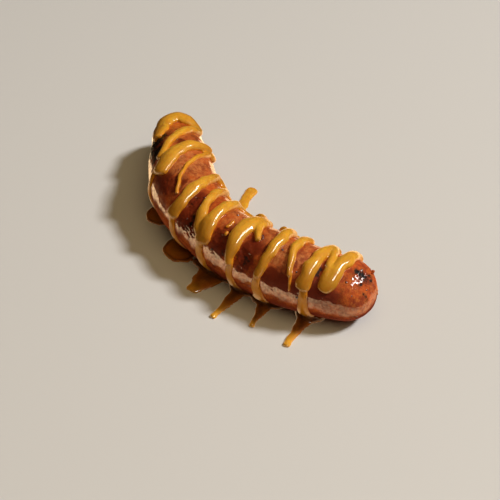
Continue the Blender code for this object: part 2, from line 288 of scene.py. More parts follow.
# The flecks scattered besides: how many, from where to where, and their size.
SCATTERED_FLECKS = 46
FLECK_STATIONS = (-6, LENGTH + 8)
FLECK_ANGLES = (-110, 110)
FLECK_SIZE = 0.3
FLECK_SIZES = (0.6, 1.3)
FLECK_WIDTHS = (0.5, 0.9)
FLECK_THICKNESS = 0.4
FLECK_BEND = 0.5
BENDS_PER_MM = 2.5
FLECK_LIFT = 0.1

# A rope of mustard: its round ends by share and size, and how it swells, wanders and sinks in.
ROPE_ENDS = ((0.0, 0.25), (0.12, 0.66), (0.4, 0.92), (1.0, 1.0))
LONGEST_END = 0.4
ROPE_GAIN = 1.14
ROPE_RISE = 1.12
END_RISE = 0.45
THINNEST_ROPE = (0.4, 0.3)
WIDTH_WOBBLE = 0.24
HEIGHT_WOBBLE = 0.12
WANDER = 0.68
WOBBLE_REACH = 4.5
WOBBLE_STEP = 7.3
SINK_SHARE = 0.4
SPREAD_BELOW = 4

# How finely the casing and the mustard are made.
CASING_SIDES = 58
CASING_STEP = 1.7
DOME_RINGS = 7
KNOT_SIDES = 10
ROPE_SIDES = 12
ROPE_STEP = 1.6
ROPE_GLANCE = 0.02
PASS_STEPS = 8
LOOP_STEPS = 6
RUN_STEPS = 5
FOOT_STEPS = 8
FILM_SIDES = (48, 16)
RIM_SIDES = (64, 12)
MUSTARD_VOXEL = 0.45
SLUMPS = 4
BATCH = 4000

# The finishes' colours and gloss; some colours hold painted shade or sheen, as marked.
PALE_CASING = (0.50, 0.088, 0.012, 1)
ORANGE_CASING = (0.66, 0.18, 0.026, 1)
TAN_AND_SHEEN_CASING = (0.56, 0.24, 0.085, 1)
BROWNED = (0.24, 0.032, 0.007, 1)
DEEP_CASING = (0.14, 0.015, 0.004, 1)
CHARRED = (0.010, 0.006, 0.005, 1)
YELLOW_MUSTARD = (0.63, 0.305, 0.028, 1)
DEEP_MUSTARD = (0.42, 0.145, 0.010, 1)
# Painted shade: the mustard darker down the sausage's sides.
SHADED_SIDE_MUSTARD = (0.38, 0.15, 0.012, 1)
RUN_MUSTARD = (0.74, 0.29, 0.011, 1)
AMBER_MUSTARD = (0.58, 0.205, 0.010, 1)
# Mustard on the surface: amber brown where thin, darker where thick, both also darkened as painted
# shade near and under the sausage.
THIN_SHADED_FOOT = (0.32, 0.095, 0.008, 1)
BROWN_SHADED_FOOT = (0.115, 0.035, 0.006, 1)
DRY_ROUGHNESS = 0.85
OIL_POLISH = 0.5
WET_COAT = 0.55
RUN_DULLING = -0.42

# The floor, and the painted reflection that gloss shows of it: a warm pool with a glowing rim, dark
# beyond.
PALE_FLOOR = (0.58, 0.572, 0.568, 1)
REFLECTED_WARM_POOL = (0.8, 0.6, 0.4, 1)
PAINTED_REFLECTION_GLOW = (1.0, 0.66, 0.34, 1)
REFLECTED_DARK_ROOM = (0.05, 0.03, 0.015, 1)
POOL_CENTRE = (0.004, 0.009, 0.0)
POOL_RADIUS = 0.1
POOL_EDGE = 0.006
FLOOR_SIZE = 8.0
FLOOR_DROP = 0.00005
PAINTED_GLOW_STRENGTH = 2.3
ROOM_COLOUR = (1.0, 0.72, 0.45, 1)
ROOM_STRENGTH = 0.02

# The camera: where it looks, from how far and at which angles, with a lens for a 24 degree view.
LOOK_AT = (0.0091, 0.00567, 0.0)
CAMERA_DISTANCE = 0.545
CAMERA_AZIMUTH = 53.5
CAMERA_ELEVATION = 42.4
FIELD_OF_VIEW = 23.9
SENSOR_WIDTH = 36

# The lights, by metres to the camera's right, away from it and up, with size, power and colour.
Lamp = namedtuple("Lamp", "name right away up size power colour")
KEY = Lamp("key", 2.1, 0.09, 2.34, 0.58, 104.0, (1.0, 0.985, 0.96))
FILL = Lamp("fill", 0.2, -0.4, 1.3, 1.5, 7.3, (1.0, 0.76, 0.4))
WINDOW = Lamp("window", 0.62, -0.38, 0.86, 0.85, 19.0, (1.0, 0.97, 0.92))
WINDOW_HEIGHT = 0.19


def smooth_between(values, t):
    """The Catmull-Rom curve through evenly spaced values, at t from 0 to 1."""
    last = len(values) - 1
    place = min(max(t, 0.0), 1.0) * last
    i = min(int(place), last - 1)
    f = place - i
    a, b = values[max(i - 1, 0)], values[i]
    c, d = values[i + 1], values[min(i + 2, last)]
    bend = 2 * a - 5 * b + 4 * c - d
    twist = 3 * b - a - 3 * c + d
    return 0.5 * (2 * b + (c - a) * f + bend * f**2 + twist * f**3)


def between(first, last, t):
    return first + (last - first) * t


def curvature(station):
    """Degrees of turn per millimetre, eased where two stretches meet."""
    bends = [turn / length for length, turn in STRETCHES]
    total = bends[0]
    joint = 0.0
    for i in range(1, len(STRETCHES)):
        joint += STRETCHES[i - 1][0]
        share = min(max((station - joint) / EASE + 0.5, 0.0), 1.0)
        total += (bends[i] - bends[i - 1]) * share
    return total


def centreline(step=0.5):
    """Points and headings along the sausage's axis, seen from above."""
    heading = math.radians(FAR_HEADING)
    point = Vector(FAR_END)
    rows = [(point.copy(), heading)]
    for i in range(round(LENGTH / step)):
        half_turn = math.radians(curvature((i + 0.5) * step)) * step / 2
        heading += half_turn
        point += Vector((math.cos(heading), math.sin(heading))) * step * MM
        heading += half_turn
        rows.append((point.copy(), heading))
    return rows


AXIS = centreline()


def radius_at(station):
    return smooth_between(RADII, station / LENGTH) * MM


def axis_at(station):
    """The axis point at floor level, the direction along the sausage and the one to its outside."""
    place = min(max(station / LENGTH, 0.0), 1.0) * (len(AXIS) - 1)
    i = min(int(place), len(AXIS) - 2)
    f = place - i
    point = AXIS[i][0].lerp(AXIS[i + 1][0], f)
    heading = AXIS[i][1] * (1 - f) + AXIS[i + 1][1] * f
    along = Vector((math.cos(heading), math.sin(heading), 0.0))
    outside = Vector((math.sin(heading), -math.cos(heading), 0.0))
    return point.to_3d(), along, outside


def normal_and_centre(station, angle):
    """The outward direction of the casing at a place, the axis point behind it, and the radius."""
    held = min(max(station, 0.0), LENGTH)
    radius = radius_at(held)
    point, along, outside = axis_at(held)
    point.z = radius - SETTLE * MM
    tilt = math.asin(min(max((station - held) * MM / radius, -1.0), 1.0))
    turn = math.radians(angle)
    across = Vector((0, 0, 1)) * math.cos(turn) + outside * math.sin(turn)
    return across * math.cos(tilt) + along * math.sin(tilt), point, radius


def unevenness(station, angle):
    """Slow swellings of the stuffed casing, by two waves that never line up."""
    turn = math.radians(angle)
    waves = 0.0
    for swell in SWELLS:
        phase = station / swell.length + swell.turns * turn + swell.start
        waves += swell.share * math.sin(phase)
    return UNEVEN * MM * waves


def skin(station, angle, lift=0.0):
    """The point of the casing at a station and angle, raised by a lift, never under the surface."""
    normal, centre, radius = normal_and_centre(station, angle)
    point = centre + normal * (radius + unevenness(station, angle) + lift)
    point.z = max(point.z, 0.0)
    return point


def places_of(points):
    """The station and angle of every point, by the nearest part of the axis."""
    axis = np.array([row[0][:] for row in AXIS])
    headings = np.array([row[1] for row in AXIS])
    stations = np.linspace(0.0, LENGTH, len(AXIS))
    nearest = np.empty(len(points), int)
    for first in range(0, len(points), BATCH):
        part = points[first:first + BATCH, None, :2] - axis[None]
        nearest[first:first + BATCH] = (part**2).sum(-1).argmin(1)
    heading = headings[nearest]
    offset = points[:, :2] - axis[nearest]
    along = offset[:, 0] * np.cos(heading) + offset[:, 1] * np.sin(heading)
    outside = offset[:, 0] * np.sin(heading) - offset[:, 1] * np.cos(heading)
    station = stations[nearest] + along / MM
    held = np.clip(station, 0.0, LENGTH) / LENGTH
    radius = np.array([smooth_between(RADII, t) for t in held]) * MM
    angle = np.degrees(np.arctan2(outside, points[:, 2] - radius + SETTLE * MM))
    return station, angle


def points_of(piece):
    flat = np.empty(len(piece.data.vertices) * 3)
    piece.data.vertices.foreach_get("co", flat)
    return flat.reshape(-1, 3)


def move_points(piece, points):
    piece.data.vertices.foreach_set("co", np.asarray(points, float).reshape(-1))
    piece.data.update()


def paint(piece, name, values):
    """Stores one number for each vertex, for the piece's material to read."""
    attribute = piece.data.attributes.new(name, "FLOAT", "POINT")
    attribute.data.foreach_set("value", np.asarray(values, np.float32))


def deselect_all():
    if bpy.context.object and bpy.context.object.mode != "OBJECT":
        bpy.ops.object.mode_set(mode="OBJECT")
    bpy.ops.object.select_all(action="DESELECT")


def select_only(*pieces):
    deselect_all()
    for piece in pieces:
        piece.select_set(True)
    bpy.context.view_layer.objects.active = pieces[0]


def apply_place(piece):
    select_only(piece)
    bpy.ops.object.transform_apply(location=True, rotation=True, scale=True)


def finish_with(piece, name, kind, **settings):
    """Adds a modifier with these settings and applies it."""
    modifier = piece.modifiers.new(name, kind)
    for key, value in settings.items():
        setattr(modifier, key, value)
    select_only(piece)
    bpy.ops.object.modifier_apply(modifier=modifier.name)


def add_disc(name, sides, radius, place, turn):
    """The flat disc that a piece is drawn out from."""
    deselect_all()
    bpy.ops.mesh.primitive_circle_add(vertices=sides, radius=radius, fill_type="NGON",
                                      location=place, rotation=turn)
    disc = bpy.context.object
    disc.name = name
    return disc


def facing(heading):
    """The turn that stands a disc upright across a heading."""
    return (math.pi / 2, 0, heading + math.pi / 2)


def draw_out(steps):
    """Extrudes the active disc by each step, turns it about +Z and scales it at its new place.

    Every step is a shift, a turn, the pivot of both and the growth on three axes.
    """
    bpy.ops.object.mode_set(mode="EDIT")
    bpy.ops.mesh.select_all(action="SELECT")
    for step, turn, pivot, growth in steps:
        bpy.ops.mesh.extrude_region_move(TRANSFORM_OT_translate={"value": step})
        if abs(turn) > 1e-6:
            bpy.ops.transform.rotate(value=-turn, orient_axis="Z", center_override=pivot)
        bpy.ops.transform.resize(value=growth, center_override=pivot)
    bpy.ops.mesh.select_all(action="SELECT")
    bpy.ops.mesh.normals_make_consistent(inside=False)
    bpy.ops.object.mode_set(mode="OBJECT")


def casing_rings():
    """Rings along the bent axis, from one dome's tip to the other's: centre, heading and radius."""
    body_rings = round(LENGTH / CASING_STEP)
    dome = [math.sin(math.pi / 2 * i / DOME_RINGS) for i in range(DOME_RINGS)]
    stations = [-RADII[0] * t for t in dome[:0:-1]]
    stations += [LENGTH * i / body_rings for i in range(body_rings + 1)]
    stations += [LENGTH + RADII[-1] * t for t in dome[1:]]
    rings = []
    for station in stations:
        held = min(max(station, 0.0), LENGTH)
        point, along, _ = axis_at(held)
        beyond = (station - held) * MM
        radius = radius_at(held)
        centre = point + along * beyond + Vector((0, 0, radius - SETTLE * MM))
        rings.append((centre, math.atan2(along.y, along.x), math.sqrt(radius**2 - beyond**2)))
    return rings


def model_casing():
    """The stuffed casing: a disc at the far tip, extruded ring by ring along the bent axis."""
    rings = casing_rings()
    centre, heading, size = rings[0]
    casing = add_disc("casing", CASING_SIDES, size, centre, facing(heading))
    apply_place(casing)
    steps = []
    for (centre, heading, size), (new_centre, new_heading, new_size) in zip(rings, rings[1:]):
        growth = (new_size / size,) * 3
        steps.append((new_centre - centre, new_heading - heading, new_centre, growth))
    draw_out(steps)
    close_tips(casing)
    finish_with(casing, "Smooth skin", "SUBSURF", levels=2, render_levels=2)
    return casing


def close_tips(casing):
    """Draws each end disc out to the tip of its dome and gathers it to a point."""
    for tip in (skin(-RADII[0], 0), skin(LENGTH + RADII[-1], 0)):
        select_only(casing)
        ends = [face for face in casing.data.polygons if len(face.vertices) > 4]
        end = min(ends, key=lambda face: (face.center - tip).length)
        for face in casing.data.polygons:
            face.select = face == end
        bpy.ops.object.mode_set(mode="EDIT")
        bpy.ops.mesh.select_mode(type="FACE")
        corners = [casing.data.vertices[i].co for i in end.vertices]
        centre = sum(corners, Vector()) / len(corners)
        bpy.ops.mesh.extrude_region_move(TRANSFORM_OT_translate={"value": tip - centre})
        bpy.ops.mesh.merge(type="CENTER")
        bpy.ops.object.mode_set(mode="OBJECT")


def spread_of(spots, station, angle):
    """How much of these spots lies on every place, from 0 to 1."""
    total = np.zeros(len(station))
    for spot in spots:
        along = (station - spot.station) / spot.along
        around = (angle - spot.angle) * ARC / spot.around
        total = np.maximum(total, spot.amount * np.exp(-(along**2 + around**2)))
    return total


def split_depth(split, station, angle):
    """The groove of one split: a V that fades towards both of its ends."""
    start = np.array((split.first[0], split.first[1] * ARC))
    course = np.array((split.last[0], split.last[1] * ARC)) - start
    offset = np.stack((station, angle * ARC), -1) - start
    share = np.clip(offset @ course / (course @ course), 0.0, 1.0)
    distance = np.linalg.norm(offset - share[:, None] * course, axis=1)
    return split.depth * np.sin(math.pi * share) * np.exp(-((distance / split.reach) ** 2))


def noise_at(place, step, count):
    """Independent slow random values at one place."""
    return [noise.noise(place + Vector((0, 0, step * k))) for k in range(count)]


def stray_of(points):
    """Two slow random waves over the points, which make the edges of marks ragged."""
    return np.array([noise_at(Vector(p) / MM / STRAY_REACH, STRAY_STEP, 2) for p in points])


def model_skin_relief(casing):
    """Moves the smooth casing to its true skin: swellings, lumps, dimples, splits and puckers."""
    points = points_of(casing)
    station, angle = places_of(points)
    stray = stray_of(points)
    ragged = (station + RAGGED * stray[:, 0], angle + RAGGED * stray[:, 1] / ARC)
    lift = -spread_of(DIMPLES, *ragged)
    for split in SPLITS:
        lift -= split_depth(split, station, angle)
    wrinkled = spread_of(WRINKLES, station, angle)
    moved = []
    for i, point in enumerate(points):
        place = Vector(point) / MM
        rise = lift[i] + sum(size * noise.noise(place / reach) for reach, size in LUMPS)
        if wrinkled[i] > 0.01:
            fold = abs(noise.noise(place * WRINKLES_PER_MM))
            rise -= wrinkled[i] * (1 - fold * WRINKLE_PINCH)
        spot = skin(station[i], angle[i], rise * MM)
        for at_near_end in (True, False):
            spot = puckered(spot, station[i], at_near_end)
        moved.append(spot[:])
    move_points(casing, moved)
    paint_casing(casing, station, angle, ragged, stray[:, 0])


def paint_casing(casing, station, angle, ragged, stray):
    """Stores where the casing browned and charred, the painted shade on its underside, where oil
    lies, and each place unbent.
    """
    # Painted shade: darker towards the underside, with some grill browning.
    under_shade_and_brown = UNDER_SHADE_AND_BROWN * np.clip((np.abs(angle) - UNDER_EDGE) / UNDER_FADE, 0.0, 1.0)
    paint(casing, "deep", np.maximum(spread_of(DEEP_SPOTS, *ragged), under_shade_and_brown))
    paint(casing, "char", spread_of(CHAR_SPOTS, *ragged))
    paint(casing, "tan", spread_of(TAN_AND_SHEEN_SPOTS, *ragged))
    held = np.clip(station / LENGTH, 0.0, 1.0)
    edge = np.array([smooth_between(OIL_EDGE, t) for t in held])
    oil = np.array([smooth_between(OIL_SHARES, t) for t in held])
    oil /= 1.0 + np.exp((np.abs(angle) + OIL_RAGGED * stray - edge) / OIL_FADE)
    dry, wet = DRY_TIP
    paint(casing, "oil", oil * np.clip((station - dry) / (wet - dry), 0.0, 1.0))
    turn = np.radians(angle)
    unbent = np.stack((station, np.cos(turn) * RADII[2], np.sin(turn) * RADII[2]), -1) * MM
    attribute = casing.data.attributes.new("unbent", "FLOAT_VECTOR", "POINT")
    attribute.data.foreach_set("vector", unbent.astype(np.float32).reshape(-1))


def dome_of(at_near_end):
    """The middle of an end's dome, and its radius."""
    end = LENGTH if at_near_end else 0.0
    radius = radius_at(end)
    return axis_at(end)[0] + Vector((0, 0, radius - SETTLE * MM)), radius


def puckered(point, station, at_near_end):
    """The point of a dome with the folds that gather the casing towards its knot."""
    into_body = LENGTH - station if at_near_end else station
    if into_body > PUCKERED_BODY:
        return point
    centre, radius = dome_of(at_near_end)
    direction = knot_direction(at_near_end)
    spoke = (point - centre).normalized()
    distance = radius / MM * spoke.angle(direction)
    side = direction.orthogonal().normalized()
    around = math.atan2(spoke.dot(direction.cross(side)), spoke.dot(side))
    fade = math.exp(-((distance / PUCKER_REACH) ** 2))
    fold = math.cos(PUCKERS * around + math.sin(3 * around)) * min(distance / PUCKER_EASE, 1.0)
    folded = point + spoke * PUCKER_DEPTH * MM * fade * (fold - 1.0)
    folded.z = max(folded.z, 0.0)
    return folded


def knot_direction(at_near_end):
    """The direction of an end's knot from the middle of its dome."""
    lean = math.radians(NEAR_KNOT_LEAN if at_near_end else FAR_KNOT_LEAN)
    _, along, outside = axis_at(LENGTH if at_near_end else 0.0)
    away = along if at_near_end else -along
    up = (Vector((0, 0, 1)) - KNOT_SIDEWAYS * outside).normalized()
    return away * math.cos(lean) + up * math.sin(lean)


def rope_stops(total, widths):
    """Where along a rope its rings lie, by share of its length, and their sizes."""
    ends = []
    for width in (widths[0], widths[-1]):
        reach = min(width / 2, LONGEST_END * total) / total
        ends.append([(reach * share, size) for share, size in ROPE_ENDS])
    first, last = ends
    start = first[-1][0]
    span = 1 - start - last[-1][0]
    count = max(round(span * total / ROPE_STEP), 1)
    stops = first + [(start + span * i / count, 1.0) for i in range(1, count)]
    return stops + [(1 - t, size) for t, size in last[::-1]]


def rope_rings(course, widths, heights):
    """The rings of a rope along its course: centre, heading, half width and height."""
    points = [Vector(p) for p in course]
    rows = ([p.x for p in points], [p.y for p in points])
    total = 0.0
    for a, b in zip(points, points[1:]):
        total += (b - a).length

    def point_at(t):
        return Vector([smooth_between(row, t) for row in rows])

    rings = []
    for t, size in rope_stops(total, widths):
        ahead = point_at(min(t + ROPE_GLANCE, 1.0)) - point_at(max(t - ROPE_GLANCE, 0.0))
        centre = point_at(t).to_3d()
        swell, swing, fullness = noise_at(centre / WOBBLE_REACH, WOBBLE_STEP, 3)
        width = max(smooth_between(widths, t), THINNEST_ROPE[0]) * size * ROPE_GAIN
        width *= 1 + WIDTH_WOBBLE * swell
        height = max(smooth_between(heights, t), THINNEST_ROPE[1]) * ROPE_RISE
        height *= between(END_RISE, 1.0, size) * (1 + HEIGHT_WOBBLE * fullness)
        centre += Vector((-ahead.y, ahead.x, 0)).normalized() * WANDER * swing
        rings.append((centre * MM, math.atan2(ahead.y, ahead.x), width * MM / 2, height * MM))
    return rings


def draw_rope(name, course, widths, heights):
    """A flat-laid rope: a disc, extruded and turned along its course, round at both ends.

    The course is a list of (x, y) in millimetres on the unrolled casing or on the surface.
    """
    rings = rope_rings(course, widths, heights)
    centre, heading, side, height = rings[0]
    rope = add_disc(name, ROPE_SIDES, 1.0, centre, facing(heading))
    rope.scale = (side, height, 1.0)
    apply_place(rope)
    steps = []
    for old, new in zip(rings, rings[1:]):
        turn = (new[1] - old[1] + math.pi) % math.tau - math.pi
        spread = new[2] / old[2]
        steps.append((new[0] - old[0], turn, new[0], (spread, spread, new[3] / old[3])))
    draw_out(steps)
    return rope


def wrap_on_casing(rope):
    """Rolls a rope, drawn flat on the unrolled casing, on to the sausage."""
    wrapped = []
    for vertex in rope.data.vertices:
        lift = vertex.co.z if vertex.co.z > 0 else vertex.co.z * SINK_SHARE
        wrapped.append(skin(vertex.co.x / MM, vertex.co.y / MM / ARC, lift)[:])
    move_points(rope, wrapped)
    return rope


def rope_on_casing(name, places, widths, heights):
    course = [(station, angle * ARC) for station, angle in places]
    return wrap_on_casing(draw_rope(name, course, widths, heights))


def pass_places(crossing):
    """Places along the parabola of station over angle, through the pass's back, top and front."""
    back, front = crossing.back_angle, crossing.front_angle
    places = []
    for i in range(PASS_STEPS + 1):
        angle = between(back, front, i / PASS_STEPS)
        station = crossing.behind * angle * (angle - front) / (back * (back - front))
        station += crossing.top * (angle - back) * (angle - front) / (back * front)
        station += crossing.front * angle * (angle - back) / (front * (front - back))
        places.append((station, angle))
    return places


def loop_places(a, b):
    """Places along the loop behind the sausage, from one pass down and up to the next."""
    places = []
    for i in range(LOOP_STEPS + 1):
        t = i / LOOP_STEPS
        drop = LOOP_DROP * math.sin(math.pi * t)
        angle = between(a.back_angle, b.back_angle, t) - drop
        places.append((between(a.behind, b.behind, t), angle))
    return places


def run_places(run):
    """Places down a run, from the edge of the mustard to its foot."""
    shares = [i / RUN_STEPS for i in range(RUN_STEPS + 1)]
    return [(between(run.top_station, run.low_station, t), between(run.top_angle, run.low_angle, t))
            for t in shares]


def lay_drizzle():
    """Every rope, run, foot, film and dab of the drizzle, as a piece of its own."""
    ropes = [rope_on_casing("cap", CAP_WAYPOINTS, CAP_WIDTHS, (CAP_HEIGHT,) * 2)]
    for crossing in PASSES:
        widths = (crossing.back_width, crossing.width, crossing.front_width)
        ropes.append(rope_on_casing("pass", pass_places(crossing), widths, (crossing.height,) * 3))
    for first, second in BACK_LOOPS:
        places = loop_places(PASSES[first], PASSES[second])
        ropes.append(rope_on_casing("loop", places, (LOOP_WIDTH,) * 2, (LOOP_HEIGHT,) * 2))
    for run in RUNS:
        widths = (run.top_width, run.low_width)
        ropes.append(rope_on_casing("run", run_places(run), widths, (run.height,) * 2))
    for dab in DABS + POOLS:
        spread = dab.length * MM / radius_at(dab.station)
        places = [(dab.station, dab.angle), (dab.station, dab.angle + math.degrees(spread))]
        ropes.append(rope_on_casing("dab", places, (dab.width,) * 2, (dab.height,) * 2))
    for foot in FEET:
        ropes += model_foot(foot)
    for film in FILMS:
        ropes += model_film(film)
    return ropes


def model_mustard():
    """The whole drizzle, run together into one skin, with its thickness painted on it."""
    select_only(*lay_drizzle())
    bpy.ops.object.join()
    mustard = bpy.context.object
    mustard.name = "mustard"
    finish_with(mustard, "Run together", "REMESH", mode="VOXEL", voxel_size=MUSTARD_VOXEL * MM)
    finish_with(mustard, "Slump", "SMOOTH", factor=0.5, iterations=SLUMPS)
    points = above_floor(mustard)
    move_points(mustard, points)
    over = height_over_skin(points)
    paint(mustard, "thickness", np.minimum(over, points[:, 2] / MM))
    paint(mustard, "spread", np.where(points[:, 2] < SPREAD_BELOW * MM, over, 0.0))
    paint(mustard, "round", np.abs(places_of(points)[1]))
    return mustard


def above_floor(piece):
    """The piece's points, with those below the floor lifted to it."""
    points = points_of(piece)
    points[:, 2] = np.maximum(points[:, 2], 0.0)
    return points


def model_film(film):
    """A round thin spread on the surface: a flattened ball, and a flattened ring for its rim."""
    point, along, outside = axis_at(film.station)
    centre = point + outside * film.reach * MM
    turn = (0, 0, math.atan2(along.y, along.x))
    deselect_all()
    bpy.ops.mesh.primitive_uv_sphere_add(segments=FILM_SIDES[0], ring_count=FILM_SIDES[1],
                                         radius=1.0, location=centre, rotation=turn)
    disc = bpy.context.object
    disc.scale = (film.along * MM, film.outward * MM, FILM_HEIGHT * MM)
    apply_place(disc)
    deselect_all()
    bpy.ops.mesh.primitive_torus_add(major_segments=RIM_SIDES[0], minor_segments=RIM_SIDES[1],
                                     major_radius=1.0, minor_radius=RIM_THICKNESS,
                                     location=centre, rotation=turn)
    rim = bpy.context.object
    rim_height = FILM_HEIGHT * RIM_RISE * MM / RIM_THICKNESS
    rim.scale = ((film.along - RIM_WIDTH) * MM, (film.outward - RIM_WIDTH) * MM, rim_height)
    apply_place(rim)
    middle = centre.to_2d()
    for piece in (disc, rim):
        points = above_floor(piece)
        for i, point in enumerate(points):
            sway = 1 + FILM_SWAY * noise.noise(Vector(point) / MM / FILM_SWAY_REACH)
            points[i, :2] = middle + (Vector(point).to_2d() - middle) * sway
        move_points(piece, points)
    return [disc, rim]


def height_over_skin(points):
    """Millimetres between each point and the casing."""
    station, angle = places_of(points)
    held = np.clip(station, 0.0, LENGTH)
    heights = []
    for i, point in enumerate(points):
        centre = axis_at(held[i])[0]
        radius = radius_at(held[i])
        centre.z = radius - SETTLE * MM
        over = (Vector(point) - centre).length - radius - unevenness(station[i], angle[i])
        heights.append(max(over, 0.0) / MM)
    return np.array(heights)


def model_knots():
    """The twisted nubs where the casing is pinched shut: a disc, extruded out and in again."""
    knots = []
    for at_near_end in (True, False):
        direction = knot_direction(at_near_end)
        centre, radius = dome_of(at_near_end)
        rise, share = KNOT_PROFILE[0]
        place = centre + direction * (radius + KNOT_RISE * MM * rise)
        turn = direction.to_track_quat("Z", "Y").to_euler()
        knot = add_disc("knot", KNOT_SIDES, KNOT_RADIUS * share * MM, place, turn)
        apply_place(knot)
        steps = []
        for (low, before), (high, after) in zip(KNOT_PROFILE, KNOT_PROFILE[1:]):
            step = direction * KNOT_RISE * MM * (high - low)
            place = place + step
            steps.append((step, 0.0, place, (after / before,) * 3))
        draw_out(steps)
        finish_with(knot, "Soft twist", "SUBSURF", levels=2, render_levels=2)
        knots.append(knot)
    select_only(*knots)
    bpy.ops.object.join()
    knots[0].name = "knots"
    points = points_of(knots[0])
    crumple = [noise.noise(Vector(p) / MM * CRUMPLES_PER_MM) * CRUMPLE_DEPTH * MM for p in points]
    move_points(knots[0], points + np.array(crumple)[:, None])
    for name in ("deep", "char"):
        paint(knots[0], name, np.full(len(points), KNOT_BROWN))
    return knots[0]


def model_flecks(seed=11):
    """Ragged little flecks in the casing: small balls, flattened, turned and bent out of round."""
    draw = random.Random(seed)
    flecks = list(FLECKS)
    for _ in range(SCATTERED_FLECKS):
        station = draw.uniform(*FLECK_STATIONS)
        angle = draw.uniform(*FLECK_ANGLES)
        flecks.append(Fleck(station, angle, FLECK_SIZE * draw.uniform(*FLECK_SIZES)))
    pieces = []
    for fleck in flecks:
        normal = normal_and_centre(fleck.station, fleck.angle)[0]
        deselect_all()
        bpy.ops.mesh.primitive_ico_sphere_add(subdivisions=2, radius=fleck.size * MM)
        piece = bpy.context.object
        piece.scale = (1.0, draw.uniform(*FLECK_WIDTHS), FLECK_THICKNESS)
        piece.rotation_euler = (0, 0, draw.uniform(0, math.pi))
        apply_place(piece)
        points = points_of(piece)
        shift = Vector((fleck.station, 0, 0))
        bent = [noise.noise(Vector(p) / MM * BENDS_PER_MM + shift) for p in points]
        move_points(piece, points * (1 + FLECK_BEND * np.array(bent))[:, None])
        piece.rotation_euler = normal.to_track_quat("Z", "Y").to_euler()
        piece.location = skin(fleck.station, fleck.angle, FLECK_LIFT * MM)
        apply_place(piece)
        pieces.append(piece)
    select_only(*pieces)
    bpy.ops.object.join()
    pieces[0].name = "flecks"
    return pieces[0]


def straight_course(start, end, steps):
    """Points in millimetres from one place on the surface to another."""
    return [start.lerp(end, i / steps).to_2d() / MM for i in range(steps + 1)]


def model_foot(foot):
    """A foot on the surface: a skirt that rounds off under the run, and a thin tail with a knob."""
    root, _, outside = axis_at(foot.root)
    end, _, end_outside = axis_at(foot.tip)
    start = root + outside * foot.side * FOOT_START * MM
    tip = end + end_outside * foot.side * foot.reach * MM
    widths = []
    for i in range(FOOT_STEPS + 1):
        share = (1 - i / FOOT_STEPS) ** foot.taper
        widths.append(between(foot.tip_width, foot.root_width, share))
    if foot.tip_width < WIDEST_KNOB:
        widths[-1] *= KNOB_SWELL
        widths[-2] *= NECK_SHARE
    heights = [TAIL_HEIGHT] * (FOOT_STEPS - 1) + [(TAIL_HEIGHT + KNOB_HEIGHT) / 2, KNOB_HEIGHT]
    tail = draw_rope("tail", straight_course(start, tip, FOOT_STEPS), widths, heights)
    share = min((SKIRT_REACH - FOOT_START) / (foot.reach - FOOT_START), SKIRT_MOST)
    course = straight_course(start, start.lerp(tip, share), len(SKIRT_WIDTHS) - 1)
    widths = [foot.root_width * share for share in SKIRT_WIDTHS]
    heights = [SKIRT_HEIGHT * share for share in SKIRT_RISES]
    skirt = draw_rope("skirt", course, widths, heights)
    for piece in (tail, skirt):
        move_points(piece, above_floor(piece))
    return [tail, skirt]


def new_material(name):
    material = bpy.data.materials.new(name)
    material.use_nodes = True
    return material, material.node_tree, material.node_tree.nodes["Principled BSDF"]


def set_inputs(shader, values):
    for name, value in values.items():
        shader.inputs[name].default_value = value


class Nodes:
    """Adds nodes to one material and joins them."""

    def __init__(self, tree):
        self.tree = tree
        self.place = tree.nodes.new("ShaderNodeTexCoord").outputs["Object"]

    def join(self, value, socket):
        if isinstance(value, bpy.types.NodeSocket):
            self.tree.links.new(value, socket)
        else:
            socket.default_value = value

    def noise(self, scale, detail=3.0, roughness=0.5, place=None):
        node = self.tree.nodes.new("ShaderNodeTexNoise")
        self.join(place or self.place, node.inputs["Vector"])
        node.inputs["Scale"].default_value = scale
        node.inputs["Detail"].default_value = detail
        node.inputs["Roughness"].default_value = roughness
        return node.outputs["Fac"]

    def unbent(self, stretch):
        """The painted place on the straightened sausage, for marks that run round it or along it."""
        node = self.tree.nodes.new("ShaderNodeAttribute")
        node.attribute_name = "unbent"
        stretched = self.tree.nodes.new("ShaderNodeVectorMath")
        stretched.operation = "MULTIPLY"
        self.join(node.outputs["Vector"], stretched.inputs[0])
        stretched.inputs[1].default_value = stretch
        return stretched.outputs["Vector"]

    def painted(self, name):
        node = self.tree.nodes.new("ShaderNodeAttribute")
        node.attribute_name = name
        return node.outputs["Fac"]

    def maths(self, operation, a, b=0.0, third=0.0, clamp=False):
        node = self.tree.nodes.new("ShaderNodeMath")
        node.operation = operation
        node.use_clamp = clamp
        self.join(a, node.inputs[0])
        self.join(b, node.inputs[1])
        self.join(third, node.inputs[2])
        return node.outputs["Value"]

    def steps(self, value, low, high, to_low=0.0, to_high=1.0):
        """Maps low..high of the value smoothly to another range, and holds it there."""
        node = self.tree.nodes.new("ShaderNodeMapRange")
        node.interpolation_type = "SMOOTHSTEP"
        self.join(value, node.inputs["Value"])
        node.inputs["From Min"].default_value = low
        node.inputs["From Max"].default_value = high
        node.inputs["To Min"].default_value = to_low
        node.inputs["To Max"].default_value = to_high
        return node.outputs["Result"]

    def mix(self, share, first, second, blend="MIX"):
        node = self.tree.nodes.new("ShaderNodeMix")
        node.data_type = "RGBA"
        node.blend_type = blend
        node.clamp_factor = True
        self.join(share, node.inputs["Factor"])
        self.join(first, node.inputs[6])
        self.join(second, node.inputs[7])
        return node.outputs[2]

    def bump(self, height, distance, strength=1.0):
        node = self.tree.nodes.new("ShaderNodeBump")
        node.inputs["Strength"].default_value = strength
        node.inputs["Distance"].default_value = distance
        self.tree.links.new(height, node.inputs["Height"])
        return node.outputs["Normal"]


